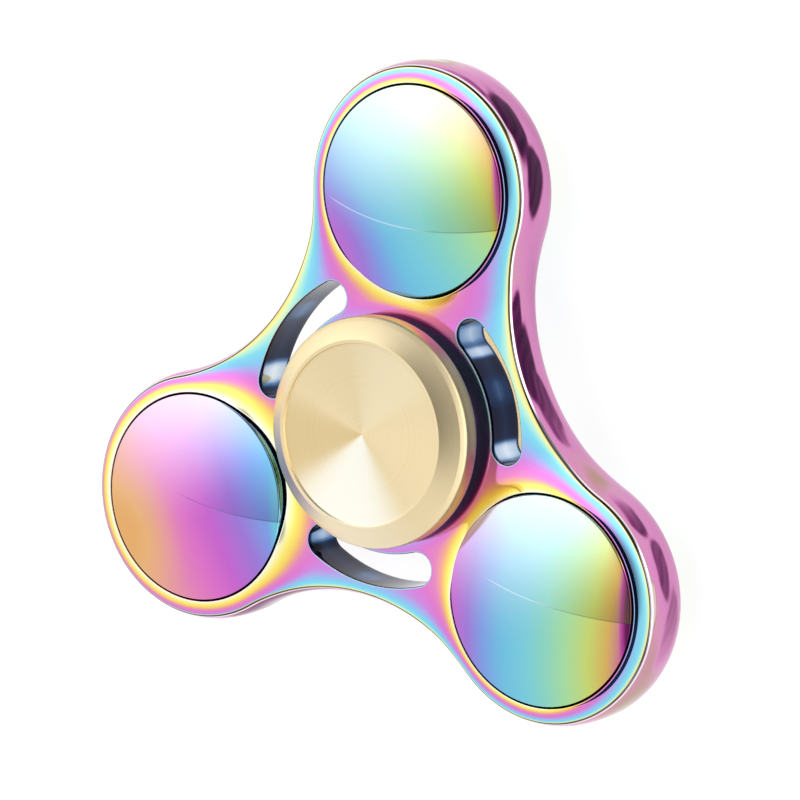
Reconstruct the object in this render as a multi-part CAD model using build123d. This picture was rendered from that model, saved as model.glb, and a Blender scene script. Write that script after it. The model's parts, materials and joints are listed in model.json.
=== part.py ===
from build123d import *

import math
import os

os.makedirs("parts", exist_ok=True)

# Three-lobed metal fidget spinner, in millimetres, lying flat on its lower finger cap.
# The origin is the centre of the bearing, +Z is the spin axis, and lobe 1 points along +Y.
# Everything is the same above and below the plane z = 0.

# Finger caps: turned brass buttons, clamped on the bearing's inner ring
cap_radius = 10.5
cap_side_height = 1.65  # straight side, from the underside up to the rounded shoulder
cap_shoulder = 0.42  # chamfer that stands for the rounded shoulder
cap_bevel_height = 1.18  # conical ring between the shoulder and the top land
cap_land_inner = 8.22  # radius of the dished disc
cap_land_width = 0.36  # flat ring that the spinner rests on
cap_dish_step = 0.24  # small wall round the dished disc
cap_dish_depth = 0.25  # further fall from the disc's rim to its centre
cap_foot_chamfer = 0.25
cap_clearance = 0.7  # running gap between the hub boss and the cap
cap_boss_radius = 4.0  # shoulder that bears on the inner ring
stem_clearance = 0.01  # slip fit of the stem in the inner ring's bore
stem_gap = 0.1  # between the ends of the two stems

# Stud that pulls the two caps together, threads modelled plain
hub_stud_radius = 2.0
hub_stud_grip = 2.1  # how far it reaches into each cap above the inner ring
stud_end_gap = 0.3

# Miniature deep-groove ball bearing, 6.35 x 12.7 x 4.762
bearing_bore = 6.35
bearing_outside = 12.7
bearing_width = 4.762
ball_diameter = 1.588
ball_count = 10
ball_clearance = 0.026  # between a ball and either groove
inner_land_depth = 0.26  # how far each groove is sunk in its ring
outer_land_depth = 0.26
cage_running_gap = 0.2  # cage to either ring
cage_pocket_clearance = 0.07
cage_side_wall = 0.25  # beside each pocket
shield_thickness = 0.2
shield_seat = 0.42  # how much deeper the shield's seat is than the outer ring's land
shield_inner_gap = 0.15  # shield to inner ring
snap_ring_thickness = 0.22
snap_ring_width = 0.35
snap_ring_inset = 0.08  # below the ring's end face
snap_ring_opening = 1.2  # gap in the open ring

# Weights: one domed button on each face of each lobe, on a common stud
lobe_count = 3
dome_radius = 9.5
dome_crown = 1.8  # height of the spherical crown
dome_rim_rise = 0.98  # rim above the frame's face
dome_groove = 0.2  # dark groove round each dome
dome_stud_radius = 2.5
dome_stud_grip = 2.0  # reach into each dome

# Frame: zinc casting, polished and plated
plate_thickness = 4.4
hub_lip = 0.22  # hub boss above the bearing's end face
hub_wall = 2.25  # round the bearing
cap_to_dome = 1.8  # from the side of a cap to the nearest dome bore
lobe_wall = 1.37  # ring round each dome bore, at its crisp front edge
side_bulge = 0.51  # the side wall swells this far beyond the front edge
lobe_rise = 0.95  # the ring's lip above the frame's face
lobe_slope = 0.47  # fall per millimetre from that lip
web_thickness = 1.6  # floor between the two domes of a lobe
straight_side = 2.4  # full-width part of the side wall
slot_land = 0.85  # from below the cap's edge to the slot
slot_width = 3.05
slot_wall = 0.95  # between the slot and the frame's waist
slot_end_wall = 2.635  # between a slot's end and the dome bores
slot_chamfer = 0.2

# Worked out from the above
ball_radius = ball_diameter / 2
pitch_radius = (bearing_bore + bearing_outside) / 4
groove_radius = ball_radius + ball_clearance
inner_land_radius = pitch_radius - groove_radius + inner_land_depth
outer_land_radius = pitch_radius + groove_radius - outer_land_depth
bearing_half = bearing_width / 2
shield_outer = outer_land_radius + shield_seat
seat_depth = shield_thickness + snap_ring_thickness + snap_ring_inset

plate_half = plate_thickness / 2
hub_half = bearing_half + hub_lip
hub_boss_radius = bearing_outside / 2 + hub_wall
cap_underside = max(plate_half, hub_half) + cap_clearance
cap_top = cap_underside + cap_side_height + cap_shoulder + cap_bevel_height
hub_stud_half = bearing_half + hub_stud_grip

dome_bore = dome_radius + dome_groove
dome_rim = plate_half + dome_rim_rise
dome_stud_half = web_thickness / 2 + dome_stud_grip
lobe_distance = cap_radius + cap_to_dome + dome_bore
lobe_radius = dome_bore + lobe_wall + side_bulge
lobe_angles = [90 + i * 360 / lobe_count for i in range(lobe_count)]
flank_angles = [angle - 180 / lobe_count for angle in lobe_angles]

slot_inner = cap_radius + slot_land
slot_middle = slot_inner + slot_width / 2
waist = slot_inner + slot_width + slot_wall + side_bulge


def at(radius, angle, height=0):
    """The point at a radius and an angle about the spin axis."""
    turn = math.radians(angle)
    return Vector(radius * math.cos(turn), radius * math.sin(turn), height)


def turned(points):
    """A solid of revolution about Z, from an outline of (radius, height) points."""
    outline = Plane.XZ * Polyline(*points, close=True)
    return revolve(make_face(outline), Axis.Z)


def ring(inner, outer, bottom, top):
    """A plain ring, or a disc where inner is 0."""
    return turned([(inner, bottom), (outer, bottom), (outer, top), (inner, top)])


def save(shape, node):
    shape.label = node
    export_step(shape, f"parts/{node}.step")


def flank_arc():
    """Centre distance and radius of the hollow arc that touches two neighbouring lobes."""
    half_turn = math.radians(180 / lobe_count)
    side = 2 * lobe_distance * math.cos(half_turn)
    rise = waist**2 + lobe_distance**2 - waist * side - lobe_radius**2
    radius = rise / (side + 2 * lobe_radius - 2 * waist)
    return waist + radius, radius


def frame_outline():
    """Lobe arcs joined by hollow flank arcs, all tangent."""
    centre_distance, radius = flank_arc()
    arcs = []
    for lobe_angle in lobe_angles:
        lobe = at(lobe_distance, lobe_angle)
        before = at(centre_distance, lobe_angle - 180 / lobe_count)
        after = at(centre_distance, lobe_angle + 180 / lobe_count)
        following = at(lobe_distance, lobe_angle + 360 / lobe_count)
        start = lobe + (before - lobe).normalized() * lobe_radius
        end = lobe + (after - lobe).normalized() * lobe_radius
        far_end = following + (after - following).normalized() * lobe_radius
        arcs.append(ThreePointArc(start, at(lobe_distance + lobe_radius, lobe_angle), end))
        arcs.append(ThreePointArc(end, at(waist, lobe_angle + 180 / lobe_count), far_end))
    return make_face(arcs)


def slot_outlines(extra=0):
    """The three slots, which follow a circle about the hub and stop short of the dome bores."""
    reach = dome_bore + slot_end_wall + slot_width / 2
    cosine = (lobe_distance**2 + slot_middle**2 - reach**2) / (2 * lobe_distance * slot_middle)
    half_sweep = 180 / lobe_count - math.degrees(math.acos(cosine))
    shapes = []
    for angle in flank_angles:
        path = CenterArc((0, 0), slot_middle, angle - half_sweep, 2 * half_sweep)
        shapes.append(SlotArc(path, slot_width + 2 * extra))
    return shapes


def both_faces(upper):
    """The shape and its mirror image below z = 0."""
    return [upper, mirror(upper, Plane.XY)]


def frame_blank():
    """The outline with a side wall that draws in towards both faces."""
    outline = frame_outline()
    top = plate_half + lobe_rise
    draft = math.degrees(math.atan(side_bulge / (plate_half - straight_side / 2)))
    upper = extrude(Pos(0, 0, straight_side / 2) * outline, top - straight_side / 2, taper=draft)
    middle = extrude(outline, straight_side / 2, both=True)
    return middle + both_faces(upper)


def frame_faces():
    """How high the frame may stand: a flat plate, and a shallow cone round each dome."""
    room = 2 * (lobe_distance + lobe_radius)
    faces = Cylinder(room, plate_thickness)
    foot = dome_bore + lobe_rise / lobe_slope
    for angle in lobe_angles:
        cone = [(0, 0), (foot, 0), (foot, plate_half), (dome_bore, plate_half + lobe_rise)]
        cone.append((0, plate_half + lobe_rise))
        faces += both_faces(Pos(at(lobe_distance, angle)) * turned(cone))
    return faces


def make_frame():
    body = frame_blank() & frame_faces()
    body += ring(0, hub_boss_radius, -hub_half, hub_half)
    body -= ring(0, bearing_outside / 2, -cap_top, cap_top)
    for angle in lobe_angles:
        place = Pos(at(lobe_distance, angle))
        pocket = ring(0, dome_bore, web_thickness / 2, cap_top)
        body -= both_faces(place * pocket)
        body -= place * ring(0, dome_stud_radius, -web_thickness, web_thickness)
    for slot in slot_outlines():
        body -= extrude(slot, cap_top, both=True)
    for slot in slot_outlines(slot_chamfer):
        mouth = extrude(Pos(0, 0, plate_half) * slot, -slot_chamfer, taper=45)
        body -= both_faces(mouth)
    return body


def make_finger_cap():
    """Button, shoulder and stem in one turning, with a tapped blind hole."""
    stem = bearing_bore / 2 - stem_clearance
    side_top = cap_underside + cap_side_height
    land_outer = cap_land_inner + cap_land_width
    hole_top = hub_stud_half + stud_end_gap
    disc_rim = cap_top - cap_dish_step
    return turned([
        (hub_stud_radius, stem_gap / 2),
        (stem, stem_gap / 2),
        (stem, bearing_half),
        (cap_boss_radius, bearing_half),
        (cap_boss_radius, cap_underside),
        (cap_radius - cap_foot_chamfer, cap_underside),
        (cap_radius, cap_underside + cap_foot_chamfer),
        (cap_radius, side_top),
        (cap_radius - cap_shoulder, side_top + cap_shoulder),
        (land_outer, cap_top),
        (cap_land_inner, cap_top),
        (cap_land_inner, disc_rim),
        (0, disc_rim - cap_dish_depth),
        (0, hole_top),
        (hub_stud_radius, hole_top),
    ])


def make_dome():
    """Domed button with a blind tapped hole, on the spin axis until it is placed."""
    seat = web_thickness / 2
    crown_radius = (dome_radius**2 + dome_crown**2) / (2 * dome_crown)
    crown = Pos(0, 0, dome_rim + dome_crown - crown_radius) * Sphere(crown_radius)
    button = ring(0, dome_radius, seat, dome_rim + dome_crown) & crown
    return button - ring(0, dome_stud_radius, seat, dome_stud_half + stud_end_gap)


def groove_cutter():
    """The ring-shaped channel that the balls roll in."""
    section = Plane.XZ * Pos(pitch_radius, 0) * Circle(groove_radius)
    return revolve(section, Axis.Z)


def make_inner_race():
    return ring(bearing_bore / 2, inner_land_radius, -bearing_half, bearing_half) - groove_cutter()


def make_outer_race():
    race = ring(outer_land_radius, bearing_outside / 2, -bearing_half, bearing_half) - groove_cutter()
    seat = ring(0, shield_outer, bearing_half - seat_depth, bearing_half)
    return race - both_faces(seat)


def make_shield():
    bottom = bearing_half - seat_depth
    return ring(inner_land_radius + shield_inner_gap, shield_outer, bottom, bottom + shield_thickness)


def make_snap_ring():
    """Open ring that holds the shield down."""
    top = bearing_half - snap_ring_inset
    bottom = top - snap_ring_thickness
    whole = ring(shield_outer - snap_ring_width, shield_outer, bottom, top)
    return whole - Pos(0, shield_outer, top) * Box(snap_ring_opening, shield_outer, seat_depth)


def ball_place(index):
    return Pos(at(pitch_radius, index * 360 / ball_count))


def make_cage():
    """Ribbon between the rings, drilled from the side with a pocket for each ball."""
    pocket = ball_radius + cage_pocket_clearance
    half = pocket + cage_side_wall
    cage = ring(inner_land_radius + cage_running_gap, outer_land_radius - cage_running_gap, -half, half)
    drill = Rot(0, 90, 0) * Cylinder(pocket, 2 * pocket)
    for index in range(ball_count):
        angle = index * 360 / ball_count
        cage -= Rot(0, 0, angle) * Pos(pitch_radius, 0) * drill
    return cage


def save_pair(upper, name):
    """The piece above and its mirror twin below."""
    save(upper, f"{name}_top")
    save(mirror(upper, Plane.XY), f"{name}_bottom")


save(make_frame(), "frame")
save_pair(make_finger_cap(), "finger_cap")
save(ring(0, hub_stud_radius, -hub_stud_half, hub_stud_half), "hub_stud")

save(make_inner_race(), "bearing_inner_race")
save(make_outer_race(), "bearing_outer_race")
save(make_cage(), "bearing_cage")
for index in range(ball_count):
    save(ball_place(index) * Sphere(ball_radius), f"bearing_ball_{index + 1:02d}")
save_pair(make_shield(), "bearing_shield")
save_pair(make_snap_ring(), "shield_snap_ring")

dome = make_dome()
stud = ring(0, dome_stud_radius, -dome_stud_half, dome_stud_half)
places = [Pos(at(lobe_distance, angle)) for angle in lobe_angles]
for number, place in enumerate(places, start=1):
    save(place * dome, f"dome_{number}_top")
    save(place * mirror(dome, Plane.XY), f"dome_{number}_bottom")
save(Compound([place * stud for place in places]), "dome_studs")
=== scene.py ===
import json
import math

import bpy
from mathutils import Euler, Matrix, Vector
from mathutils.geometry import delaunay_2d_cdt


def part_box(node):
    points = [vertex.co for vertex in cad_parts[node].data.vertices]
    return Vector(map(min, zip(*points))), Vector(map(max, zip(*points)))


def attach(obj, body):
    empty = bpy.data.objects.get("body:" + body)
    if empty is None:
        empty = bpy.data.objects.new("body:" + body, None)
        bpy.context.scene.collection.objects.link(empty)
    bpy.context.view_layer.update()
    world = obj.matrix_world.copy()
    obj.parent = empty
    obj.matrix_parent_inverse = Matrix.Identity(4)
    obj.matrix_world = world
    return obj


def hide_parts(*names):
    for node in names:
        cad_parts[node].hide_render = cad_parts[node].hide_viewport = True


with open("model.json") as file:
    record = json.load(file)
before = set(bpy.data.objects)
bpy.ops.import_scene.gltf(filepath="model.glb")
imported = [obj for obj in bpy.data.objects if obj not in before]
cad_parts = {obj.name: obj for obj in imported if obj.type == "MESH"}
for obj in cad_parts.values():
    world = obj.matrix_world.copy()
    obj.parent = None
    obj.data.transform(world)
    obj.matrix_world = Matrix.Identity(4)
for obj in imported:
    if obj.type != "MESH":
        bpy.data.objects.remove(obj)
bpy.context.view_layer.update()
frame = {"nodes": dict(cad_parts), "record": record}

scene = bpy.context.scene
MM = 0.001


# ---------------------------------------------------------------------------------------------
# Studio: a pale sweep for the spinner to lie on, a white tent of soft light that is brightest
# past the first lobe, and a long lens looking down on it with the first lobe at the top.

def linear(hex_colour):
    """An sRGB hex colour as linear red, green, blue and alpha."""
    parts = [int(hex_colour[i:i + 2], 16) / 255 for i in (1, 3, 5)]
    return tuple(c / 12.92 if c <= 0.04045 else ((c + 0.055) / 1.055) ** 2.4 for c in parts) + (1.0,)


def add(tree, kind, inputs=None, **settings):
    """One node, with its settings, and a value or a link for each input named or numbered."""
    node = tree.nodes.new(kind)
    for name, value in settings.items():
        setattr(node, name, value)
    for key, value in (inputs or {}).items():
        if isinstance(value, bpy.types.NodeSocket):
            tree.links.new(value, node.inputs[key])
        else:
            node.inputs[key].default_value = value
    return node


rest_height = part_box("finger_cap_bottom")[0].z
floor_half = 1.5
floor_mesh = bpy.data.meshes.new("sweep")
corners = [(-1, -1), (1, -1), (1, 1), (-1, 1)]
floor_points = [(x * floor_half, y * floor_half, rest_height) for x, y in corners]
floor_mesh.from_pydata(floor_points, [], [(0, 1, 2, 3)])
sweep = bpy.data.objects.new("sweep", floor_mesh)
scene.collection.objects.link(sweep)

# Uncoated paper gives no gloss, and light comes through it from below, so it reads as near white.
paper = bpy.data.materials.new("matt white sweep paper")
paper.use_nodes = True
paper_shader = paper.node_tree.nodes["Principled BSDF"]
paper_shader.inputs["Base Color"].default_value = linear("#A4A4A4")
paper_shader.inputs["Roughness"].default_value = 0.9
paper_shader.inputs["Specular IOR Level"].default_value = 0.1
paper_shader.inputs["Emission Color"].default_value = (1.0, 1.0, 1.0, 1.0)
paper_shader.inputs["Emission Strength"].default_value = 0.78
floor_mesh.materials.append(paper)

across = Vector((0.988, 0.155, 0.0))  # over the spinner's face, towards the right of the view
upwards = Vector((-0.155, 0.988, 0.0))  # over the face, towards the top of the view
tent = bpy.data.worlds.new("light tent")
scene.world = tent
tent.use_nodes = True
sky = tent.node_tree
sky.nodes.clear()
way = add(sky, "ShaderNodeTexCoord").outputs["Generated"]
# The key light grows towards the top of the view, and a fill stands on its right.
height = add(sky, "ShaderNodeVectorMath", {0: way, 1: upwards}, operation="DOT_PRODUCT").outputs["Value"]
side = add(sky, "ShaderNodeVectorMath", {0: way, 1: across}, operation="DOT_PRODUCT").outputs["Value"]
key = add(sky, "ShaderNodeMapRange", {0: height, 1: -0.3, 2: 0.65, 3: 1.0, 4: 1.7},
          interpolation_type="SMOOTHSTEP").outputs[0]
fill = add(sky, "ShaderNodeMapRange", {0: side, 1: 0.74, 2: 0.92, 3: 0.0, 4: 1.8},
           interpolation_type="SMOOTHSTEP").outputs[0]
both = add(sky, "ShaderNodeMath", {0: key, 1: fill}, operation="ADD").outputs[0]
# The tent is open on the lens's side: dark from a slanting edge to the fill, and above the front seam.
slanted = add(sky, "ShaderNodeVectorMath", {0: way, 1: across + 0.45 * upwards}, operation="DOT_PRODUCT")
past = add(sky, "ShaderNodeMapRange", {0: slanted.outputs["Value"], 1: 0.10, 2: 0.34, 3: 0.0, 4: 1.0},
           interpolation_type="SMOOTHSTEP").outputs[0]
short = add(sky, "ShaderNodeMapRange", {0: side, 1: 0.72, 2: 0.84, 3: 1.0, 4: 0.0}).outputs[0]
seam = Vector((0.0, 0.0, 0.54)) + 0.84 * upwards - 0.07 * across
above = add(sky, "ShaderNodeVectorMath", {0: way, 1: seam}, operation="DOT_PRODUCT").outputs["Value"]
above = add(sky, "ShaderNodeMapRange", {0: above, 1: -0.02, 2: 0.10, 3: 0.0, 4: 1.0}).outputs[0]
dark = add(sky, "ShaderNodeMath", {0: past, 1: short}, operation="MULTIPLY").outputs[0]
dark = add(sky, "ShaderNodeMath", {0: dark, 1: above}, operation="MULTIPLY").outputs[0]
shade = add(sky, "ShaderNodeMapRange", {0: dark, 3: 1.0, 4: 0.17}).outputs[0]
light = add(sky, "ShaderNodeMath", {0: both, 1: shade}, operation="MULTIPLY").outputs[0]
glow = add(sky, "ShaderNodeBackground", {"Color": linear("#FCFDFF"), "Strength": light})
add(sky, "ShaderNodeOutputWorld", {"Surface": glow.outputs[0]})

lens = bpy.data.cameras.new("long lens")
lens.sensor_width = 36.0
lens.lens = 287.6
lens.clip_start = 0.05
lens.clip_end = 10.0
camera = bpy.data.objects.new("camera", lens)
camera.location = (0.30189, 0.13363, 0.47101)
camera.rotation_euler = Euler([math.radians(a) for a in (-8.272, 34.108, 8.942)])
scene.collection.objects.link(camera)
scene.camera = camera
scene.view_settings.view_transform = "Standard"


# ---------------------------------------------------------------------------------------------
# Frame: one zinc casting, polished to a mirror and coloured in a vacuum chamber. The film is
# thinnest on the raised rings round the domes and grows towards the edges, hence the bands.

frame_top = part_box("frame")[1].z / MM
dome_low, dome_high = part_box("dome_1_top")
dome_radius = (dome_high.x - dome_low.x) / 2 / MM
lobe_distance = (dome_high.y + dome_low.y) / 2 / MM
dome_clearance = 0.13
bore_radius = dome_radius + dome_clearance
lobe_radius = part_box("frame")[1].y / MM - lobe_distance
plate_half = 2.2
ring_rise = frame_top - plate_half
ring_spread = 3.6  # how far from the bore the ring has run out into the plate
side_bulge = 0.51
waist = 15.86
slot_middle, slot_width, slot_sweep = 12.875, 3.05, 23.9
web_half = 0.8
stud_radius = 2.5
boss_foot, boss_radius, boss_top = 8.75, 8.6, 2.6
bearing_seat = 6.35
edge_margin, bore_margin, slot_margin = 0.40, 0.7, 0.35  # rows of points laid beside each edge of the face
lobe_turns = [math.radians(90 + 120 * i) for i in range(3)]
lobe_centres = [(lobe_distance * math.cos(a), lobe_distance * math.sin(a)) for a in lobe_turns]
flank_radius = (waist ** 2 + lobe_distance ** 2 - waist * lobe_distance - lobe_radius ** 2) / (
    lobe_distance + 2 * lobe_radius - 2 * waist)
flank_distance = waist + flank_radius
flank_centre = (flank_distance / 2, flank_distance * math.sqrt(3) / 2)  # beside a lobe on +X
joint_turn = math.atan2(flank_centre[1], flank_centre[0] - lobe_distance)


def eased(value, start, end):
    """0 up to the start, 1 from the end on, and a soft S-curve between them."""
    share = min(1.0, max(0.0, (value - start) / (end - start)))
    return share ** 2 * (3 - 2 * share)


def folded(x, y):
    """The point turned and mirrored to lie beside a lobe on +X."""
    turn = math.atan2(y, x) - lobe_turns[0]
    turn = abs((turn + math.pi / 3) % (2 * math.pi / 3) - math.pi / 3)
    radius = math.hypot(x, y)
    return radius * math.cos(turn), radius * math.sin(turn)


def depth(x, y):
    """How far the point lies inside the frame's widest outline."""
    u, v = folded(x, y)
    if math.atan2(v, u - lobe_distance) < joint_turn:
        return lobe_radius - math.hypot(u - lobe_distance, v)
    return math.hypot(u - flank_centre[0], v - flank_centre[1]) - flank_radius


def from_bore(x, y):
    """How far the point lies outside the nearest dome's bore."""
    u, v = folded(x, y)
    return math.hypot(u - lobe_distance, v) - bore_radius


def face_height(x, y):
    """A flat plate that flares up to the ring round each dome, less so next to the hub."""
    level_to, free_from = 11.2, 17.0  # the flare starts and is whole at these distances from the hub's axis
    share = max(0.0, 1 - max(0.0, from_bore(x, y)) / ring_spread)
    return plate_half + ring_rise * share ** 2 * eased(math.hypot(x, y), level_to, free_from)


def face_normal(x, y, step=0.02):
    """The face's normal, leaning away from the flare."""
    slope_x = (face_height(x + step, y) - face_height(x - step, y)) / (2 * step)
    slope_y = (face_height(x, y + step) - face_height(x, y - step)) / (2 * step)
    return Vector((-slope_x, -slope_y, 1)).normalized()


def film_at(x, y):
    """Film thickness on the face, from 0 at a dome's bore to 1 at the front edge. Round the second lobe's
    bore the film is thinner, most on the side away from the view's right. Round the other two bores it rises
    towards lilac and blue on the side facing the view's right, a painted reflection. Beside the hub it is
    pulled to a pale blue, painted shade that turns the cap's reflection there dark purple."""
    inner = max(0.0, from_bore(x, y))
    outer = max(0.0, depth(x, y) - side_bulge)
    bore_reach, edge_reach = 2.96, 2.13  # how far the film's change reaches from either edge
    hub_shade_film, hub_reach, open_face = 0.68, 9.6, 11.8  # the film beside the hub, a blue painted as the cap's shade, and where that fades
    near = 1 - math.exp(-inner / bore_reach)
    below = -(x * upwards.x + y * upwards.y) / max(1e-6, math.hypot(x, y))
    growth = 0.65 - 0.75 * min(1.0, max(0.0, (below - 0.6) / 0.3))  # narrower bands on the lowest flank
    film = near / (near + 1 - math.exp(-outer / (edge_reach + growth * inner)) + 1e-6)
    lobe = max(range(3), key=lambda i: x * lobe_centres[i][0] + y * lobe_centres[i][1])
    out = Vector((x - lobe_centres[lobe][0], y - lobe_centres[lobe][1])).normalized()
    facing = out.dot(across.xy)
    # Painted shade: beside the hub the film is pulled to a pale blue, so the cap's reflection there reads
    # dark purple.
    film += (hub_shade_film - film) * 0.9 * eased(math.hypot(x, y), open_face, hub_reach)
    if lobe == 1:
        close = math.exp(-(inner / 2.7) ** 2)
        return film * (1 - close * (0.42 + 0.30 * max(0.0, -facing)))
    # Painted reflection: on the first and third lobes the film rises towards blue round the side of the bore
    # facing the view's right.
    close = math.exp(-(inner / 2.0) ** 2)
    return film + (1 - film) * close * 0.62 * max(0.0, facing) ** 1.2


def swung(u, v, turn):
    """The point turned about the hub's axis."""
    return u * math.cos(turn) - v * math.sin(turn), u * math.sin(turn) + v * math.cos(turn)


def outline_loop(inset, per_lobe=168, per_flank=60):
    """Points round the outline, drawn in by inset."""
    points = []
    for turn in lobe_turns:
        for i in range(per_lobe):
            angle = -joint_turn + 2 * joint_turn * i / per_lobe
            u = lobe_distance + (lobe_radius - inset) * math.cos(angle)
            v = (lobe_radius - inset) * math.sin(angle)
            points.append(swung(u, v, turn))
        half = math.pi / 3
        reach = joint_turn - half  # from the flank's centre line to the joint with the lobe
        for i in range(per_flank):
            angle = reach - 2 * reach * i / per_flank
            u = flank_distance - (flank_radius + inset) * math.cos(angle)
            v = -(flank_radius + inset) * math.sin(angle)
            points.append(swung(u, v, turn + half))
    return points


def circle_loop(centre, radius, count):
    """Points round a circle, anticlockwise."""
    turns = [2 * math.pi * i / count for i in range(count)]
    return [(centre[0] + radius * math.cos(a), centre[1] + radius * math.sin(a)) for a in turns]


def slot_loop(middle, grow, along=64, round_end=24):
    """Points round a slot that follows a circle about the hub, with full-round ends."""
    sweep_half = math.radians(slot_sweep)
    half = slot_width / 2 + grow
    points = []
    for i in range(along):
        a = middle - sweep_half + 2 * sweep_half * i / along
        points.append(((slot_middle + half) * math.cos(a), (slot_middle + half) * math.sin(a)))
    for end, start in ((middle + sweep_half, 0.0), (middle - sweep_half, math.pi)):
        cx, cy = slot_middle * math.cos(end), slot_middle * math.sin(end)
        for i in range(round_end):
            a = end + start + math.pi * i / round_end
            points.append((cx + half * math.cos(a), cy + half * math.sin(a)))
        if start == 0.0:
            for i in range(along):
                a = middle + sweep_half - 2 * sweep_half * i / along
                points.append(((slot_middle - half) * math.cos(a), (slot_middle - half) * math.sin(a)))
    return points


casting_points = []
casting_faces = []
casting_film = []
smooth_normals = {}


def put_loop(points, heights, films):
    """Adds a row of points and returns their numbers."""
    first = len(casting_points)
    casting_points.extend((x, y, z) for (x, y), z in zip(points, heights))
    casting_film.extend(films)
    return list(range(first, len(casting_points)))


def put_face_loop(points, films=None):
    """Adds points that lie on the face, shaded with the face's own normals."""
    films = films or [film_at(x, y) for x, y in points]
    row = put_loop(points, [face_height(x, y) for x, y in points], films)
    for n in row:
        smooth_normals[n] = face_normal(*casting_points[n][:2])
    return row


def put_skin(rows, inward):
    """Quads between rows of equal length. inward says that the rows run anticlockwise and inwards."""
    for low, high in zip(rows, rows[1:]):
        for i in range(len(low)):
            j = (i + 1) % len(low)
            quad = (low[i], low[j], high[j], high[i])
            casting_faces.append(quad if inward else quad[::-1])


side_power = 2.6  # a barrel with rounded shoulders
edge_share = 0.88  # how far up the barrel's curve the crisp front edge lies
barrel_depth = side_bulge / (1 - (1 - edge_share ** side_power) ** (1 / side_power))
edge_soft, edge_height = 0.07, 2.4

# Past 1 the film's numbers stand for the colours of the walls, which side_bands lists.
# A painted dark reflection line and a painted highlight line run round the crisp front edge.
painted_dark_edge_line, painted_highlight_edge_line = 1.04, 1.08
# Painted shade in the pockets and grooves, and a painted dark reflection in a navy crescent beside two lips.
pocket_shade_film, groove_shade_film, crescent_reflection_film = 1.85, 1.90, 1.95
film_patches_and_painted_reflections = [  # patches on the side wall, tan ones of film, dark ones painted dark reflections and the palest painted highlights: place across and upwards, reach, height, its reach, film
    (13.2, 28.6, 3.8, 0.54, 0.42, 1.82), (15.4, 23.0, 3.2, 0.24, 0.46, 1.78),
    (8.6, 31.8, 3.4, 0.84, 0.14, 1.62), (13.2, 11.2, 3.0, 0.66, 0.26, 1.74),
    (14.2, 6.8, 4.0, 0.46, 0.46, 1.78), (16.0, 2.0, 3.6, 0.20, 0.46, 1.72),
    (26.4, -4.4, 3.4, 0.40, 0.38, 1.84), (28.9, -10.2, 3.0, 0.16, 0.36, 1.74),
    (28.4, -17.0, 3.6, -0.1, 0.44, 1.64), (-11.6, -16.8, 6.5, 0.4, 0.9, 1.62),
    (21.8, -2.6, 3.6, 0.2, 0.8, 1.14), (24.2, -22.6, 6.5, 0.2, 1.0, 1.135),
    (4.0, 33.0, 3.6, 0.1, 0.7, 1.10), (13.4, 26.0, 2.4, 0.90, 0.10, 1.10),
    (27.6, -7.6, 0.9, 0.62, 0.16, 1.10), (29.2, -12.5, 2.6, 0.86, 0.12, 1.10),
]
lower_film = {}  # film on the wall's lower half, which doesn't mirror the upper half's patches


def wall_film(x, y, share):
    """Film thickness on the side wall: pink, wandering to tan and mauve, with dark patches that are painted
    dark reflections and pale ones that are painted highlights. The share of the half height runs from the
    back edge at -1 to the front edge at 1."""
    film = 1.27 + 0.05 * math.sin(x / 3.1 + 2 * share) + 0.04 * math.sin(y / 2.3 - 3 * share)
    film += 0.04 * (1 - share)
    right = x * across.x + y * across.y + 0.25 * math.sin(2.7 * y + 4 * share)
    up = x * upwards.x + y * upwards.y + 0.45 * math.sin(2.1 * x + 5 * share) + 1.6 * (share - 0.5)
    # Tan patches are the film's own colour; the dark ones are painted dark reflections and the palest painted
    # highlights.
    for at_right, at_up, reach, height, tall, value in film_patches_and_painted_reflections:
        away = ((right - at_right) ** 2 + (up - at_up) ** 2) / reach ** 2 + ((share - height) / tall) ** 2
        mottle = 0.04 * math.sin(9 * share + 3 * up) if value > 1.5 else 0.0
        crispness = 9 if value > 1.3 or reach < 3 else 1.3
        film += (value + mottle - film) / (1 + away ** crispness)
    return film


def make_side():
    """The barrel-shaped side wall, from mid-height up to the crisp front edge and onto the face. Its last
    rows carry the painted highlight line and the painted dark reflection line that run round the edge."""
    rows = []
    steps = 26
    highlight_line_from, dark_line_from = steps - 8, steps - 5
    edge_points = outline_loop(side_bulge)
    tops = [face_height(x, y) for x, y in edge_points]
    for k in range(steps + 1):
        share = math.sin(math.pi / 2 * k / steps)
        inset = barrel_depth * (1 - (1 - (share * edge_share) ** side_power) ** (1 / side_power))
        film_share = share
        if k == steps:
            share = 1 - edge_soft / 2 / edge_height
        points = outline_loop(inset)
        films = [wall_film(x, y, film_share) for x, y in points]
        # The last rows are painted: a highlight line, then a dark reflection line.
        if k >= highlight_line_from:
            films = [painted_dark_edge_line if k >= dark_line_from else painted_highlight_edge_line] * len(points)
        rows.append(put_loop(points, [share * z for z in tops], films))
        if 0 < k < highlight_line_from:
            lower_film.update({n: wall_film(x, y, -film_share) for n, (x, y) in zip(rows[-1], points)})
    # The soft edge's first row carries the painted dark reflection line too.
    for inset, drop, film in ((edge_soft * 0.35, 0.012, painted_dark_edge_line), (edge_soft, 0.0, 1.0)):
        points = outline_loop(side_bulge + inset)
        heights = [face_height(x, y) - drop for x, y in points]
        rows.append(put_loop(points, heights, [film] * len(points)))
    for inset in (0.12, 0.22, edge_margin):
        rows.append(put_face_loop(outline_loop(side_bulge + inset)))
    put_skin(rows, True)
    return rows[-1]


def rounded_drop(radius, steps):
    """Steps of a quarter round, as distance from the wall and drop from the face."""
    turns = [math.pi / 2 * k / steps for k in range(steps + 1)]
    return [(radius * (1 - math.sin(a)), radius * (1 - math.cos(a))) for a in turns]


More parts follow.
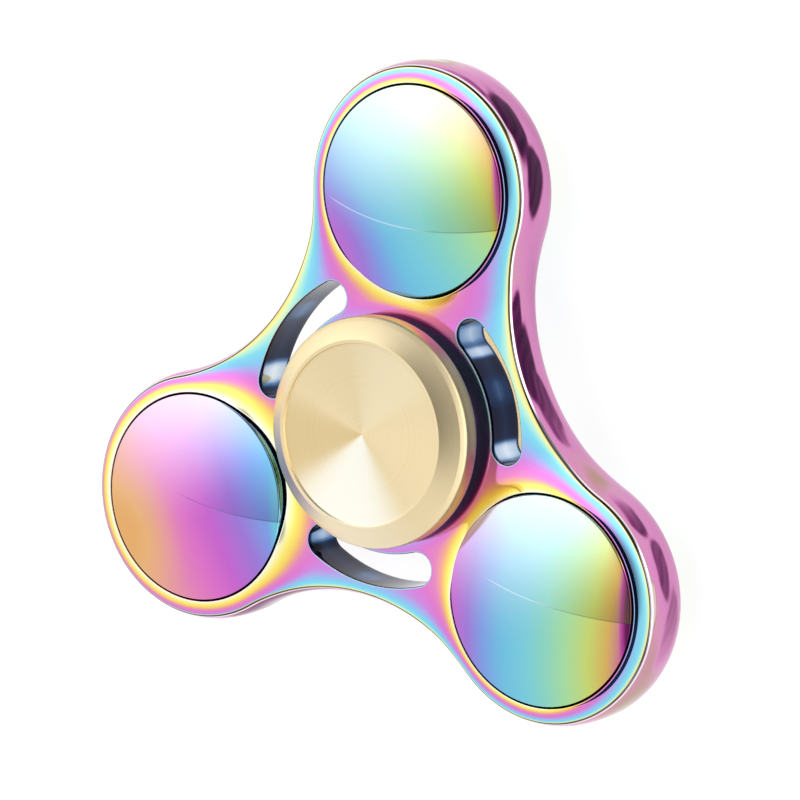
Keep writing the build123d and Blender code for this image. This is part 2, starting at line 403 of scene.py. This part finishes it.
def make_bore(centre):
    """A lobe's pocket: a rounded lip, a groove round the dome, the wall down to the web, and the hole for the
    stud, the groove, wall and hole painted dark as shade. On two lobes a navy crescent, a painted dark
    reflection, lies outside the lip."""
    lip = 0.12
    ledge = 0.05
    count = 220
    rows = []
    for away in (bore_margin, 0.58, 0.48):
        rows.append(put_face_loop(circle_loop(centre, bore_radius + away, count)))
    middle = Vector(centre)
    swells = []
    for x, y in circle_loop(centre, bore_radius, count):
        facing = (Vector((x, y)) - middle).normalized().dot(across.xy)
        swells.append(eased(facing, 0.3, 0.8) if centre != lobe_centres[1] else 0.0)
    for foot, gain, thick in ((0.025, 0.27, False), (0.015, 0.27, True), (0.008, 0.0, True)):
        points = []
        for swell, (x, y) in zip(swells, circle_loop(centre, 1.0, count)):
            reach = bore_radius + ledge + lip + foot + gain * swell
            points.append(tuple(middle + (Vector((x, y)) - middle) * reach))
        # Painted dark reflection: the navy crescent outside the lip on the side facing the view's right.
        films = [crescent_reflection_film if thick and swell > 0.01 else film_at(*spot)
                 for swell, spot in zip(swells, points)]
        rows.append(put_face_loop(points, films))
    for away, drop in rounded_drop(lip, 6):
        points = circle_loop(centre, bore_radius + ledge + away, count)
        heights = [face_height(x, y) - drop for x, y in points]
        rows.append(put_loop(points, heights, [film_at(x, y) for x, y in points]))
    # Painted shade: the groove round the dome.
    for away, drop in ((ledge - 0.01, lip + 0.02), (0.02, lip + 0.03), (0.0, lip + 0.06)):
        points = circle_loop(centre, bore_radius + away, count)
        rows.append(put_loop(points, [face_height(x, y) - drop for x, y in points], [groove_shade_film] * count))
    # Painted shade: the wall down to the web and the stud's hole.
    for radius, z in ((bore_radius, 2.4), (bore_radius, 1.6), (bore_radius, web_half), (6.0, web_half),
                      (stud_radius, web_half), (stud_radius, 0.0)):
        rows.append(put_loop(circle_loop(centre, radius, count), [z] * count, [pocket_shade_film] * count))
    put_skin(rows, True)
    return rows[0]


def slot_film(number, count, down):
    """Deep blue walls, painted dark as shade, lighter in streaks of painted reflection near the slot's two
    ends.
    """
    share = number / count  # outer side, one end, inner side, other end
    # Painted shade: dark navy walls, with pale streaks of painted reflection.
    reflection_streak = 0.0
    for middle, width, gain in (
            (0.36, 0.035, 0.26), (0.47, 0.03, 0.2), (0.53, 0.025, 0.24), (0.885, 0.03, 0.26),
            (0.95, 0.02, 0.2), (0.68, 0.05, 0.07), (0.15, 0.04, 0.1)):
        reflection_streak += gain * math.exp(-((share - middle) / width) ** 4)
    return 1.91 + 0.05 * down + reflection_streak


def make_slot(middle):
    """A slot with a rounded mouth, down to mid-height. A thin pale yellow line rims the mouth."""
    mouth = 0.11
    rim_film, rim_drop = 0.93, 0.02
    wall_top = 1.7
    rows = [put_face_loop(slot_loop(middle, slot_margin)), put_face_loop(slot_loop(middle, mouth + 0.1))]
    for away, drop in rounded_drop(mouth, 6):
        points = slot_loop(middle, away)
        heights = [face_height(x, y) - drop for x, y in points]
        if drop == 0:
            rows.append(put_loop(points, heights, [0.5 * film_at(x, y) + 0.44 for x, y in points]))
        else:
            # Below the pale rim line the mouth is painted dark as shade.
            film = rim_film if drop < rim_drop else groove_shade_film
            rows.append(put_loop(points, heights, [film] * len(points)))
        if 0 < drop < rim_drop:
            points = slot_loop(middle, away - 0.004)
            heights = [face_height(x, y) - drop - 0.002 for x, y in points]
            rows.append(put_loop(points, heights, [groove_shade_film] * len(points)))
    count = len(rows[-1])
    for z in (wall_top, 1.3, 0.9, 0.45, 0.0):
        films = [slot_film(i, count, 1 - z / wall_top) for i in range(count)]
        rows.append(put_loop(slot_loop(middle, 0), [z] * count, films))
    put_skin(rows, True)
    return rows[0]


def make_hub():
    """The boss that holds the bearing, under the finger cap."""
    count = 220
    chamfer = 0.1
    rows = [put_face_loop(circle_loop((0, 0), boss_foot, count))]
    for radius, z in ((boss_radius + 0.06, 2.22), (boss_radius, 2.3), (boss_radius, boss_top - chamfer),
                      (boss_radius - chamfer, boss_top), (bearing_seat + chamfer, boss_top),
                      (bearing_seat, boss_top - chamfer), (bearing_seat, 1.2), (bearing_seat, 0.0)):
        rows.append(put_loop(circle_loop((0, 0), radius, count), [z] * count, [0.5] * count))
    put_skin(rows, True)
    return rows[0]


def make_face(loops):
    """Fills the front face between the loops with small triangles, outline first and holes after."""
    spacing = 0.42
    room_to_loops = 0.16
    border = [number for loop in loops for number in loop]
    flat = [Vector(casting_points[n][:2]) for n in border]
    links = []
    start = 0
    for loop in loops:
        links += [(start + i, start + (i + 1) % len(loop)) for i in range(len(loop))]
        start += len(loop)
    slot_turns = [turn + math.pi / 3 for turn in lobe_turns]

    def clear(x, y, room):
        """True where the face is metal and at least room from every loop."""
        if depth(x, y) < side_bulge + edge_margin + room or from_bore(x, y) < bore_margin + room:
            return False
        if math.hypot(x, y) < boss_foot + room:
            return False
        for middle in slot_turns:
            turn = (math.atan2(y, x) - middle + math.pi) % (2 * math.pi) - math.pi
            end = max(-math.radians(slot_sweep), min(math.radians(slot_sweep), turn))
            near_x, near_y = swung(slot_middle, 0.0, middle + end)
            if math.hypot(x - near_x, y - near_y) < slot_width / 2 + slot_margin + room:
                return False
        return True

    reach = int(lobe_distance + lobe_radius) + 1
    inner = []
    for row in range(int(-reach / spacing), int(reach / spacing) + 1):
        y = row * spacing * math.sqrt(3) / 2
        for column in range(int(-reach / spacing), int(reach / spacing) + 1):
            x = (column + 0.5 * (row % 2)) * spacing
            if clear(x, y, room_to_loops):
                inner.append((x, y))
    numbers = border + put_face_loop(inner)
    flat += [Vector(p) for p in inner]
    loop_of = [i for i, loop in enumerate(loops) for _ in loop] + [None] * len(inner)

    def within(x, y, loop):
        """True where a loop goes round the point."""
        odd = False
        for n, m in zip(loop, loop[1:] + loop[:1]):
            (x0, y0), (x1, y1) = casting_points[n][:2], casting_points[m][:2]
            if (y0 > y) != (y1 > y) and x < x0 + (y - y0) * (x1 - x0) / (y1 - y0):
                odd = not odd
        return odd

    inside_outline = 1
    points, _, triangles, origins, _, _ = delaunay_2d_cdt(flat, links, [], inside_outline, 1e-6)
    # A triangle whose corners all lie on one hole's loop may cover the hole, and is then left out.
    for triangle in triangles:
        corners = [origins[i][0] for i in triangle]
        touched = {loop_of[corner] for corner in corners}
        hole = touched.pop() if len(touched) == 1 else None
        x = sum(points[i].x for i in triangle) / 3
        y = sum(points[i].y for i in triangle) / 3
        if not hole or not within(x, y, loops[hole]):
            casting_faces.append(tuple(numbers[corner] for corner in corners))


edge_loops = [make_side()]
edge_loops += [make_bore(centre) for centre in lobe_centres]
edge_loops += [make_slot(turn + math.pi / 3) for turn in lobe_turns]
edge_loops.append(make_hub())
make_face(edge_loops)


def mirrored_mesh(name):
    """The upper half and its mirror image, welded where they meet at mid-height."""
    count = len(casting_points)
    twin = [n if abs(casting_points[n][2]) < 1e-9 else None for n in range(count)]
    points = [Vector(p) * MM for p in casting_points]
    film = list(casting_film)
    for n in range(count):
        if twin[n] is None:
            twin[n] = len(points)
            points.append(Vector((points[n].x, points[n].y, -points[n].z)))
            film.append(lower_film.get(n, casting_film[n]))
    faces = casting_faces + [tuple(twin[i] for i in reversed(face)) for face in casting_faces]
    mesh = bpy.data.meshes.new(name)
    mesh.from_pydata(points, [], faces)
    mesh.shade_smooth()
    mesh.attributes.new("film", "FLOAT", "POINT").data.foreach_set("value", film)
    normals = [v.normal.copy() for v in mesh.vertices]
    for n, normal in smooth_normals.items():
        normals[n] = normal
        normals[twin[n]] = Vector((normal.x, normal.y, -normal.z))
    mesh.normals_split_custom_set_from_vertices(normals)
    return mesh


def mixed(tree, share, colour, other):
    """The first colour, with a share of the other laid over it."""
    return add(tree, "ShaderNodeMix", {0: share, 6: colour, 7: other}, data_type="RGBA").outputs[2]


def ramp(tree, factor, stops):
    """A colour ramp with a stop for each (position, hex colour)."""
    node = add(tree, "ShaderNodeValToRGB", {"Fac": factor})
    band = node.color_ramp
    band.elements[0].position, band.elements[0].color = stops[0][0], linear(stops[0][1])
    band.elements[1].position, band.elements[1].color = stops[-1][0], linear(stops[-1][1])
    for position, colour in stops[1:-1]:
        band.elements.new(position).color = linear(colour)
    return node.outputs["Color"]


face_bands = [
    (0.00, "#FFFEF4"), (0.07, "#FFF8C4"), (0.15, "#FFEE78"), (0.23, "#FBD86A"), (0.30, "#F2AE88"),
    (0.37, "#E88AC0"), (0.46, "#E27ED0"), (0.55, "#D08CDE"), (0.63, "#AEB0EC"), (0.72, "#8ACCF0"),
    (0.82, "#88DEEE"), (0.90, "#BCF2DC"), (0.96, "#FAF8A8"), (1.00, "#F4E27C"),
]
# The darkest stops serve painted dark reflections and painted shade, and the last pale blues painted
# reflection streaks in the slots.
side_bands = [
    (painted_dark_edge_line, "#100A14"), (painted_highlight_edge_line, "#F2E2EE"),
    (1.13, "#A88A6C"), (1.19, "#CC90AE"), (1.26, "#D084B8"),
    (1.34, "#C87CB0"), (1.45, "#AC6494"), (1.58, "#823C70"), (1.70, "#502048"), (1.84, "#241428"),
    (1.92, "#0C1430"), (2.00, "#1A3156"), (2.10, "#5A82B0"), (2.22, "#DCEAF8"),
]


def plated_metal(name, film, bands):
    """Mirror-polished casting under an interference film: colour from the film's thickness."""
    material = bpy.data.materials.new(name)
    material.use_nodes = True
    tree = material.node_tree
    shader = tree.nodes["Principled BSDF"]
    place = add(tree, "ShaderNodeTexCoord").outputs["Object"]
    drift = add(tree, "ShaderNodeTexNoise", {"Vector": place, "Scale": 90.0, "Detail": 2.0}).outputs["Fac"]
    drift = add(tree, "ShaderNodeMapRange", {0: drift, 3: -0.03, 4: 0.03}).outputs[0]
    film = film(tree, place)
    film = add(tree, "ShaderNodeMath", {0: film, 1: drift}, operation="ADD").outputs[0]
    top = bands[-1][0]
    share = add(tree, "ShaderNodeMath", {0: film, 1: 1 / top}, operation="MULTIPLY").outputs[0]
    colour = ramp(tree, share, [(position / top, value) for position, value in bands])
    tree.links.new(colour, shader.inputs["Base Color"])
    shader.inputs["Metallic"].default_value = 1.0
    haze = add(tree, "ShaderNodeTexNoise", {"Vector": place, "Scale": 700.0, "Detail": 3.0}).outputs["Fac"]
    haze = add(tree, "ShaderNodeMapRange", {0: haze, 3: 0.04, 4: 0.09}).outputs[0]
    tree.links.new(haze, shader.inputs["Roughness"])
    return material


def painted_film(tree, place):
    """The film that each point of the casting carries."""
    return add(tree, "ShaderNodeAttribute", attribute_name="film").outputs["Fac"]


frame_mesh = mirrored_mesh("plated_frame")
frame_mesh.materials.append(plated_metal("rainbow-plated zinc frame", painted_film, face_bands + side_bands))
plated_frame = bpy.data.objects.new("plated_frame", frame_mesh)
scene.collection.objects.link(plated_frame)
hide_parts("frame")
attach(plated_frame, "rotor")


# ---------------------------------------------------------------------------------------------
# Domes: six shallow buttons, turned from the same alloy and plated with the frame. Each one was
# plated loose, so the bands lie across it in its own way. They meet the web inside each lobe.

def lathe_tree():
    """Turns a profile, points with the radius in X and the height in Z, about an upright axis."""
    tree = bpy.data.node_groups.new("Turned piece", "GeometryNodeTree")
    face = tree.interface
    face.new_socket("Geometry", in_out="OUTPUT", socket_type="NodeSocketGeometry")
    face.new_socket("Profile", in_out="INPUT", socket_type="NodeSocketGeometry")
    face.new_socket("Steps round", in_out="INPUT", socket_type="NodeSocketInt")
    face.new_socket("Axis", in_out="INPUT", socket_type="NodeSocketVector")
    face.new_socket("Metal", in_out="INPUT", socket_type="NodeSocketMaterial")
    given = add(tree, "NodeGroupInput").outputs
    count = add(tree, "GeometryNodeAttributeDomainSize", {"Geometry": given["Profile"]})
    count = count.outputs["Point Count"]
    columns = add(tree, "ShaderNodeMath", {0: given["Steps round"], 1: 1.0}, operation="ADD").outputs[0]
    grid = add(tree, "GeometryNodeMeshGrid",
               {"Size X": 1.0, "Size Y": 1.0, "Vertices X": columns, "Vertices Y": count}).outputs["Mesh"]
    spot = add(tree, "ShaderNodeSeparateXYZ", {0: add(tree, "GeometryNodeInputPosition").outputs[0]}).outputs
    angle = add(tree, "ShaderNodeMath", {0: spot["X"], 1: -2 * math.pi}, operation="MULTIPLY").outputs[0]
    along = add(tree, "ShaderNodeMath", {0: spot["Y"], 1: 0.5}, operation="ADD").outputs[0]
    last = add(tree, "ShaderNodeMath", {0: count, 1: 1.0}, operation="SUBTRACT").outputs[0]
    along = add(tree, "ShaderNodeMath", {0: along, 1: last}, operation="MULTIPLY").outputs[0]
    along = add(tree, "ShaderNodeMath", {0: along}, operation="ROUND").outputs[0]
    place = add(tree, "GeometryNodeInputPosition").outputs[0]
    picked = add(tree, "GeometryNodeSampleIndex",
                 {"Geometry": given["Profile"], "Value": place, "Index": along},
                 data_type="FLOAT_VECTOR").outputs["Value"]
    picked = add(tree, "ShaderNodeSeparateXYZ", {0: picked}).outputs
    cosine = add(tree, "ShaderNodeMath", {0: angle}, operation="COSINE").outputs[0]
    sine = add(tree, "ShaderNodeMath", {0: angle}, operation="SINE").outputs[0]
    x = add(tree, "ShaderNodeMath", {0: picked["X"], 1: cosine}, operation="MULTIPLY").outputs[0]
    y = add(tree, "ShaderNodeMath", {0: picked["X"], 1: sine}, operation="MULTIPLY").outputs[0]
    turned = add(tree, "ShaderNodeCombineXYZ", {0: x, 1: y, 2: picked["Z"]}).outputs[0]
    turned = add(tree, "ShaderNodeVectorMath", {0: turned, 1: given["Axis"]}, operation="ADD").outputs[0]
    solid = add(tree, "GeometryNodeSetPosition", {"Geometry": grid, "Position": turned}).outputs[0]
    solid = add(tree, "GeometryNodeMergeByDistance", {"Geometry": solid, "Distance": 0.002 * MM}).outputs[0]
    solid = add(tree, "GeometryNodeRealizeInstances", {"Geometry": solid}).outputs[0]
    solid = add(tree, "GeometryNodeSetMaterial", {"Geometry": solid, "Material": given["Metal"]}).outputs[0]
    add(tree, "NodeGroupOutput", {"Geometry": solid})
    return tree


turned_piece = lathe_tree()


def profile_points(corners, fineness=8):
    """A profile from (radius, height, rounding) corners, each rounding as a run of short steps."""
    points = []
    for i, (radius, height, rounding) in enumerate(corners):
        here = Vector((radius, height))
        if rounding == 0:
            points.append(here)
            continue
        back = (Vector(corners[i - 1][:2]) - here).normalized()
        ahead = (Vector(corners[i + 1][:2]) - here).normalized()
        half = back.angle(ahead) / 2
        cut = rounding / math.tan(half)
        centre = here + (back + ahead).normalized() * (rounding / math.sin(half))
        start, end = here + back * cut - centre, here + ahead * cut - centre
        for k in range(fineness + 1):
            points.append(centre + start.slerp(end, k / fineness) * rounding)
    return points


def turn_on_lathe(name, profile, metal, axis=(0.0, 0.0, 0.0), steps=224):
    """A plain mesh object, turned from the profile about the axis, all in millimetres."""
    line = bpy.data.meshes.new(name + "_profile")
    edges = [(i, i + 1) for i in range(len(profile) - 1)]
    line.from_pydata([(p.x * MM, 0.0, p.y * MM) for p in profile], edges, [])
    blank = bpy.data.objects.new(name + "_blank", line)
    scene.collection.objects.link(blank)
    lathe = blank.modifiers.new("lathe", "NODES")
    lathe.node_group = turned_piece
    values = {"Steps round": steps, "Axis": Vector(axis) * MM, "Metal": metal}
    for item in turned_piece.interface.items_tree:
        if item.in_out == "INPUT" and item.name in values:
            lathe[item.identifier] = values[item.name]
    done = blank.evaluated_get(bpy.context.evaluated_depsgraph_get())
    mesh = bpy.data.meshes.new_from_object(done)
    bpy.data.objects.remove(blank)
    mesh.name = name
    mesh.shade_smooth()
    piece = bpy.data.objects.new(name, mesh)
    scene.collection.objects.link(piece)
    return piece


# Past 1 the stops darken from magenta to near black: painted dark reflection along the domes' right rims.
dome_bands = [
    (0.00, "#E8AE6A"), (0.08, "#EBB47A"), (0.16, "#EAA98E"), (0.24, "#E898A6"), (0.30, "#E484BA"),
    (0.36, "#DE74C8"), (0.43, "#C868CE"), (0.50, "#A07AD6"), (0.56, "#809EE2"), (0.63, "#72C0E0"),
    (0.70, "#7CCCDC"), (0.76, "#8AD4C4"), (0.83, "#A8DCA0"), (0.90, "#C8D670"), (0.95, "#D8B060"),
    (1.00, "#C04CA0"), (1.06, "#6A2058"), (1.20, "#281830"),
]
dome_looks = [  # film in the middle and its growth; thin spot; painted highlight's start, end and most; painted dark reflection above the seam line; the painted seam reflection's curve, start and colour
    {"middle": 0.73, "across": 0.20, "up": 0.12, "thin": (-0.66, -0.55, 0.40, 0.06),
     "pale": (-0.55, 0.95, 0.55), "shade": "#5C5A20",
     "bend": (-0.32, -0.114, 0.139), "start": -0.95, "seam_reflection": "#F6FAFF"},
    {"middle": 0.375, "across": 0.24, "up": 0.09, "thin": (-0.70, -0.36, 0.42, 0.16),
     "pale": (-0.30, 1.20, 0.55), "shade": "#4C3488",
     "bend": (0.037, -0.321, 0.129), "start": -0.10, "seam_reflection": "#8A3C96"},
    {"middle": 0.705, "across": 0.29, "up": -0.04,
     "pale": (-0.45, 1.05, 0.55), "shade": "#5C5A20",
     "bend": (0.043, -0.242, 0.083), "start": -0.55, "seam_reflection": "#F6FAFF"},
]


def dome_place(tree, place, number):
    """How far across and upwards on a dome, as shares of its radius."""
    centre = Vector((*lobe_centres[number], 0.0)) * MM
    local = add(tree, "ShaderNodeVectorMath", {0: place, 1: centre}, operation="SUBTRACT").outputs["Vector"]
    shares = []
    for way_over in (across, upwards):
        scaled = way_over / (dome_radius * MM)
        share = add(tree, "ShaderNodeVectorMath", {0: local, 1: scaled}, operation="DOT_PRODUCT")
        shares.append(share.outputs["Value"])
    return shares


def banded_film(number):
    """The film across one dome: its thickness in the middle, how it grows, and any thin spot."""
    look = dome_looks[number]

    def film(tree, place):
        """The film at a place on this dome."""
        right, up = dome_place(tree, place, number)
        middle = look["middle"]
        # Towards the right rim the film rises into the dark stops past 1: painted dark reflection.
        rim = add(tree, "ShaderNodeMapRange", {0: right, 1: 0.87, 2: 1.0, 3: middle, 4: middle + 0.1},
                  interpolation_type="SMOOTHSTEP").outputs[0]
        grown = add(tree, "ShaderNodeMath", {0: right, 1: look["across"], 2: rim},
                    operation="MULTIPLY_ADD").outputs[0]
        grown = add(tree, "ShaderNodeMath", {0: up, 1: look["up"], 2: grown},
                    operation="MULTIPLY_ADD").outputs[0]
        if "thin" in look:
            at_right, at_up, reach, less = look["thin"]
            spot = add(tree, "ShaderNodeCombineXYZ", {0: right, 1: up}).outputs[0]
            away = add(tree, "ShaderNodeVectorMath", {0: spot, 1: (at_right, at_up, 0)}, operation="DISTANCE")
            away = away.outputs["Value"]
            dip = add(tree, "ShaderNodeMapRange", {0: away, 1: 0.0, 2: 2 * reach, 3: -less, 4: 0.0},
                      interpolation_type="SMOOTHSTEP").outputs[0]
            grown = add(tree, "ShaderNodeMath", {0: grown, 1: dip}, operation="ADD").outputs[0]
        return grown

    return film


def plated_dome(number):
    """The frame's plating, with white mixed in towards the top of the dome as a painted highlight, a painted
    reflection of the tent's seam as a hairline across it, and painted dark reflection above that line.
    """
    material = plated_metal(f"rainbow-plated zinc dome {number + 1}", banded_film(number), dome_bands)
    tree = material.node_tree
    shader = tree.nodes["Principled BSDF"]
    colour = shader.inputs["Base Color"].links[0].from_socket
    place = add(tree, "ShaderNodeTexCoord").outputs["Object"]
    right, up = dome_place(tree, place, number)
    look = dome_looks[number]
    pale_from, pale_to, most = look["pale"]
    bend, start = look["bend"], look["start"]
    # Painted highlight: white mixed in towards the top of the dome.
    lean = add(tree, "ShaderNodeMath", {0: right, 1: -0.5, 2: -0.3}, operation="MULTIPLY_ADD").outputs[0]
    lean = add(tree, "ShaderNodeMath", {0: right, 1: lean, 2: up}, operation="MULTIPLY_ADD").outputs[0]
    pale = add(tree, "ShaderNodeMapRange", {0: lean, 1: pale_from, 2: pale_to, 3: 0.0, 4: most},
               interpolation_type="SMOOTHSTEP").outputs[0]
    colour = mixed(tree, pale, colour, linear("#FAFCFF"))
    # Painted reflection of the tent's seam: a thin line, pale on the left and dark on the right.
    line = add(tree, "ShaderNodeMath", {0: right, 1: bend[2], 2: bend[1]}, operation="MULTIPLY_ADD")
    line = add(tree, "ShaderNodeMath", {0: right, 1: line.outputs[0], 2: bend[0]},
               operation="MULTIPLY_ADD").outputs[0]
    above = add(tree, "ShaderNodeMath", {0: up, 1: line}, operation="SUBTRACT").outputs[0]
    away = add(tree, "ShaderNodeMath", {0: above}, operation="ABSOLUTE").outputs[0]
    seam_reflection = add(tree, "ShaderNodeMapRange", {0: away, 1: 0.003, 2: 0.009, 3: 0.42, 4: 0.0}).outputs[0]
    begun = add(tree, "ShaderNodeMapRange", {0: right, 1: start, 2: start + 0.15, 3: 0.0, 4: 1.0}).outputs[0]
    seam_reflection = add(tree, "ShaderNodeMath", {0: seam_reflection, 1: begun}, operation="MULTIPLY").outputs[0]
    tone = ramp(tree, right, [(0.0, look["seam_reflection"]), (0.35, "#6C7480"), (0.8, "#2C3424")])
    colour = mixed(tree, seam_reflection, colour, tone)
    # Painted dark reflection above the seam line, stronger towards the right.
    fade = add(tree, "ShaderNodeMapRange", {0: above, 1: 0.0, 2: 0.7, 3: 1.0, 4: 0.0}).outputs[0]
    over = add(tree, "ShaderNodeMath", {0: above, 1: 0.0}, operation="GREATER_THAN").outputs[0]
    fade = add(tree, "ShaderNodeMath", {0: fade, 1: over}, operation="MULTIPLY").outputs[0]
    edge = add(tree, "ShaderNodeMapRange", {0: right, 1: 0.2, 2: 1.0, 3: 0.0, 4: 0.5}).outputs[0]
    fade = add(tree, "ShaderNodeMath", {0: fade, 1: edge}, operation="MULTIPLY").outputs[0]
    colour = mixed(tree, fade, colour, linear(look["shade"]))
    tree.links.new(colour, shader.inputs["Base Color"])
    return material


crown = 1.8
rim_height = dome_high.z / MM - crown
crown_radius = (dome_radius ** 2 + crown ** 2) / (2 * crown)
rim_angle = math.asin(dome_radius / crown_radius)
crown_steps = 44
stud_end = 3.1
dome_profile = []
for k in range(crown_steps + 1):
    a = rim_angle * k / crown_steps
    drop = crown_radius * (1 - math.cos(a))
    dome_profile.append((crown_radius * math.sin(a), rim_height + crown - drop, 0))
dome_profile[-1] = (dome_radius, rim_height, 0.22)
dome_profile += [
    (dome_radius, web_half, 0.1), (stud_radius, web_half, 0), (stud_radius, stud_end, 0), (0, stud_end, 0)]
dome_profile = profile_points(dome_profile)
for number in range(3):
    metal = plated_dome(number)
    for half, sign in (("top", 1), ("bottom", -1)):
        flipped = [Vector((p.x, p.y * sign)) for p in dome_profile]
        axis = (*lobe_centres[number], 0.0)
        piece = turn_on_lathe(f"plated_dome_{number + 1}_{half}", flipped[::sign], metal, axis)
        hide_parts(f"dome_{number + 1}_{half}")
        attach(piece, "rotor")


# ---------------------------------------------------------------------------------------------
# Finger caps: two buttons of pale brass, faced and bevelled on a lathe and left with its marks.
# Each has a stem that passes into the bearing and a shoulder that clamps the inner ring.

cap_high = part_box("finger_cap_top")[1]
cap_radius = cap_high.x / MM
cap_top = cap_high.z / MM
cap_underside = cap_top - 3.25
disc_rim = cap_top - 0.24
dish = 0.25
disc_radius = 8.22
disc_steps = 24
shoulder_radius, shoulder_face = 4.0, 2.381
stem_radius, stem_end = 3.165, 0.05
hole_radius, hole_end = 2.0, 4.781
cap_profile = []
for k in range(disc_steps):
    share = k / disc_steps
    cap_profile.append((disc_radius * share, disc_rim - dish * (1 - share ** 2), 0))
cap_profile += [
    (disc_radius - 0.03, disc_rim, 0.05), (disc_radius + 0.03, cap_top, 0.06),
    (disc_radius + 0.36, cap_top, 0.1), (cap_radius - 0.42, cap_top - 1.18, 0.3),
    (cap_radius, cap_top - 1.6, 0.5), (cap_radius, cap_underside, 0.2),
    (shoulder_radius, cap_underside, 0), (shoulder_radius, shoulder_face, 0.05),
    (stem_radius, shoulder_face, 0), (stem_radius, stem_end, 0.1), (hole_radius, stem_end, 0),
    (hole_radius, hole_end, 0), (0, hole_end, 0),
]
cap_profile = profile_points(cap_profile)


def turned_brass():
    """Pale champagne brass with fine rings from the facing cut, and soft fans of painted highlight and
    painted shade, mostly on the disc.
    """
    material = bpy.data.materials.new("turned champagne brass")
    material.use_nodes = True
    tree = material.node_tree
    shader = tree.nodes["Principled BSDF"]
    place = add(tree, "ShaderNodeTexCoord").outputs["Object"]
    spot = add(tree, "ShaderNodeSeparateXYZ", {0: place}).outputs
    flat = add(tree, "ShaderNodeCombineXYZ", {0: spot["X"], 1: spot["Y"]}).outputs[0]
    reach = add(tree, "ShaderNodeVectorMath", {0: flat}, operation="LENGTH").outputs["Value"]
    rings = add(tree, "ShaderNodeCombineXYZ", {0: reach, 1: spot["Z"]}).outputs[0]
    cut = add(tree, "ShaderNodeTexNoise", {"Vector": rings, "Scale": 9000.0, "Detail": 2.0}).outputs["Fac"]
    tone = add(tree, "ShaderNodeMapRange", {0: cut, 1: 0.2, 2: 0.8, 3: 0.0, 4: 1.0}).outputs[0]
    colour = ramp(tree, tone, [(0.0, "#E5D0A2"), (1.0, "#EDDAB0")])
    outward = add(tree, "ShaderNodeVectorMath", {0: flat}, operation="NORMALIZE").outputs["Vector"]
    inside = add(tree, "ShaderNodeMapRange", {0: reach, 1: 8.1 * MM, 2: 8.3 * MM, 3: 1.0, 4: 0.3}).outputs[0]
    # Painted highlight and shade: a bright fan towards the bottom, a darker one at the left and a light one
    # at the upper right.
    for turn, narrow, tint, most in (
            (-103, 0.58, "#FFFFF6", 0.8), (186, 0.80, "#C8AA70", 0.5), (62, 0.75, "#F6EBCB", 0.4)):
        angle = math.radians(turn)
        toward = across * math.cos(angle) + upwards * math.sin(angle)
        painted_light_fan = add(tree, "ShaderNodeVectorMath", {0: outward, 1: toward}, operation="DOT_PRODUCT")
        painted_light_fan = add(tree, "ShaderNodeMapRange", {0: painted_light_fan.outputs["Value"], 1: narrow, 2: 1.0, 3: 0.0, 4: most},
                  interpolation_type="SMOOTHSTEP").outputs[0]
        painted_light_fan = add(tree, "ShaderNodeMath", {0: painted_light_fan, 1: inside}, operation="MULTIPLY").outputs[0]
        colour = mixed(tree, painted_light_fan, colour, linear(tint))
    tree.links.new(colour, shader.inputs["Base Color"])
    gloss = add(tree, "ShaderNodeMapRange", {0: cut, 3: 0.28, 4: 0.36}).outputs[0]
    satin = add(tree, "ShaderNodeMapRange", {0: reach, 1: 8.4 * MM, 2: 10.4 * MM, 3: 0.0, 4: 0.14}).outputs[0]
    gloss = add(tree, "ShaderNodeMath", {0: gloss, 1: satin}, operation="ADD").outputs[0]
    tree.links.new(gloss, shader.inputs["Roughness"])
    marks = add(tree, "ShaderNodeBump", {"Height": cut, "Strength": 0.08, "Distance": 0.02 * MM}).outputs[0]
    tree.links.new(marks, shader.inputs["Normal"])
    shader.inputs["Metallic"].default_value = 1.0
    shader.inputs["Anisotropic"].default_value = 0.75
    round_about = add(tree, "ShaderNodeTangent", direction_type="RADIAL", axis="Z").outputs[0]
    tree.links.new(round_about, shader.inputs["Tangent"])
    return material


brass = turned_brass()
for half, sign in (("top", 1), ("bottom", -1)):
    flipped = [Vector((p.x, p.y * sign)) for p in cap_profile]
    piece = turn_on_lathe(f"brass_cap_{half}", flipped[::sign], brass, steps=256)
    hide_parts(f"finger_cap_{half}")
    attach(piece, "hub")


# ---------------------------------------------------------------------------------------------
# Bearing and studs: hardened steel rings and balls, a blanked steel cage, pressed shields held
# by open wire rings, and plain steel studs. They sit behind the caps and inside the lobes.

def bearing_steel(name, dark, light, rough, grit):
    """Ground or pressed steel, with the scratches of its own finishing run round it."""
    material = bpy.data.materials.new(name)
    material.use_nodes = True
    tree = material.node_tree
    shader = tree.nodes["Principled BSDF"]
    place = add(tree, "ShaderNodeTexCoord").outputs["Object"]
    stretched = add(tree, "ShaderNodeMapping", {"Vector": place, "Scale": (1.0, 1.0, 12.0)}).outputs[0]
    marks = add(tree, "ShaderNodeTexNoise", {"Vector": stretched, "Scale": grit, "Detail": 3.0})
    marks = marks.outputs["Fac"]
    tree.links.new(ramp(tree, marks, [(0.3, dark), (0.7, light)]), shader.inputs["Base Color"])
    gloss = add(tree, "ShaderNodeMapRange", {0: marks, 3: rough, 4: rough + 0.12}).outputs[0]
    tree.links.new(gloss, shader.inputs["Roughness"])
    shader.inputs["Metallic"].default_value = 1.0
    return material


steels = {
    "race_steel": bearing_steel("ground bearing steel", "#A4A7AC", "#B9BCC0", 0.12, 3000.0),
    "ball_steel": bearing_steel("lapped ball steel", "#B4B6BA", "#C6C8CC", 0.04, 1500.0),
    "cage_steel": bearing_steel("blanked cage steel", "#8D8F92", "#A2A4A6", 0.25, 2500.0),
    "shield_steel": bearing_steel("pressed shield steel", "#94979C", "#A9ACB0", 0.22, 2500.0),
    "stud_steel": bearing_steel("blackened stud steel", "#3C3E42", "#54565A", 0.35, 4000.0),
}
for row in frame["record"]["subparts"]:
    if row["material_slot"] in steels:
        mesh = frame["nodes"][row["node"]].data
        mesh.materials.clear()
        mesh.materials.append(steels[row["material_slot"]])
